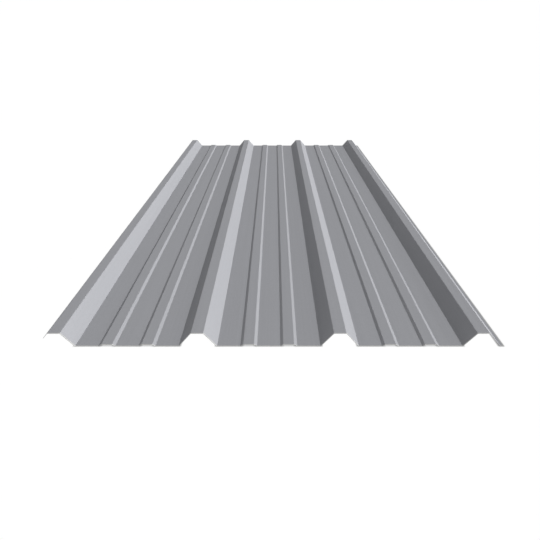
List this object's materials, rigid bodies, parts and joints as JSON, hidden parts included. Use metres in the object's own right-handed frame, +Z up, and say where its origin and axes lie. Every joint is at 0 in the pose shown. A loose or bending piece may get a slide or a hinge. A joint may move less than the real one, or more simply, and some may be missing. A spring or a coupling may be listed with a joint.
{
  "type": "trapezoidal corrugated metal sheet",
  "caption": "Long roll-formed metal sheet with tall trapezoidal ribs, flat pans with low stiffening ribs, a short lapping lip on one side and a bearing foot on the other.",
  "frame": {"origin": "underside of the middle pan, halfway across the cover width and halfway along the sheet, on the floor", "axes": "+Y along the ribs, +X across the sheet from the lapping rib to the lapped rib, +Z up on the weather side"},
  "size_m": [0.9873, 2.1336, 0.0327],
  "materials": {
    "coated_steel": "coil-coated steel, matt mid grey on the weather side, off-white primer below, bare metal at the cut ends and edges"
  },
  "bodies": {
    "root": {"corrugated_sheet": "coated_steel"}
  },
  "joints": []
}
